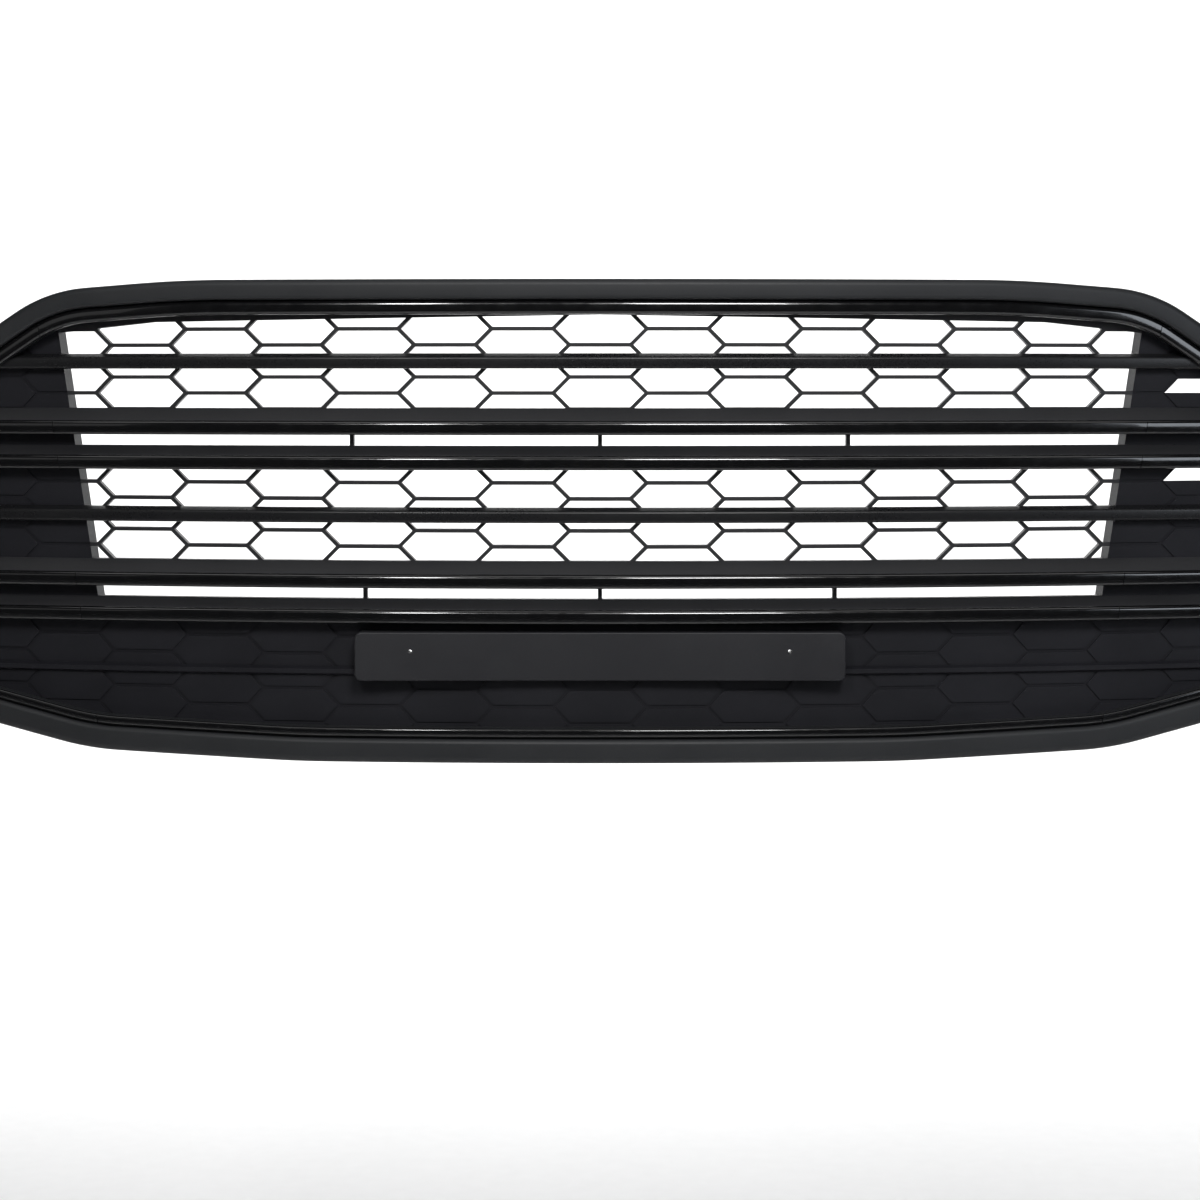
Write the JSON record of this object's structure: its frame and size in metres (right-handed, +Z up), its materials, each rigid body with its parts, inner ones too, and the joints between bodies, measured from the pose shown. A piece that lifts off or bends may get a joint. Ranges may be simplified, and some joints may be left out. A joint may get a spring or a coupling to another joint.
{
  "type": "car front grille",
  "caption": "Wide front grille, swept back at both sides, with gloss crossbars, hexagon mesh, vent slots and a number plate pad.",
  "frame": {"origin": "centre of the bounding box", "axes": "+X to the right as seen from in front, +Y rearward into the car, +Z up; the front faces -Y"},
  "size_m": [1.3, 0.1238, 0.461],
  "materials": {
    "surround_plastic": "fine grained, matte",
    "gloss_trim": "high gloss, clear coated",
    "core_plastic": "fine grained, matte",
    "satin_trim": "satin",
    "panel_plastic": "matte",
    "pad_plastic": "matte",
    "screw_steel": "dark zinc",
    "nut_steel": "phosphated"
  },
  "bodies": {
    "root": {"surround": "surround_plastic", "trim_top_left": "gloss_trim", "trim_top_centre": "gloss_trim", "trim_top_right": "gloss_trim", "trim_bottom_left": "gloss_trim", "trim_bottom_centre": "gloss_trim", "trim_bottom_right": "gloss_trim", "blade_1_left": "gloss_trim", "blade_1_centre": "gloss_trim", "blade_1_right": "gloss_trim", "blade_2_left": "gloss_trim", "blade_2_centre": "gloss_trim", "blade_2_right": "gloss_trim", "blade_3_left": "gloss_trim", "blade_3_centre": "gloss_trim", "blade_3_right": "gloss_trim", "blade_4_left": "gloss_trim", "blade_4_centre": "gloss_trim", "blade_4_right": "gloss_trim", "bar_1": "core_plastic", "bar_2": "core_plastic", "bar_3": "core_plastic", "bar_4": "core_plastic", "thin_bar_upper": "satin_trim", "thin_bar_lower": "satin_trim", "mesh_upper": "core_plastic", "mesh_lower": "core_plastic", "slot_frame_upper": "core_plastic", "slot_frame_lower": "core_plastic", "wing_left": "panel_plastic", "wing_right": "panel_plastic", "lower_panel_far_left": "panel_plastic", "lower_panel_left": "panel_plastic", "lower_panel_centre": "panel_plastic", "lower_panel_right": "panel_plastic", "lower_panel_far_right": "panel_plastic", "plate_pad": "pad_plastic", "top_screws": "screw_steel", "bottom_screws": "screw_steel", "pad_screws": "screw_steel", "spring_nuts": "nut_steel"}
  },
  "joints": []
}
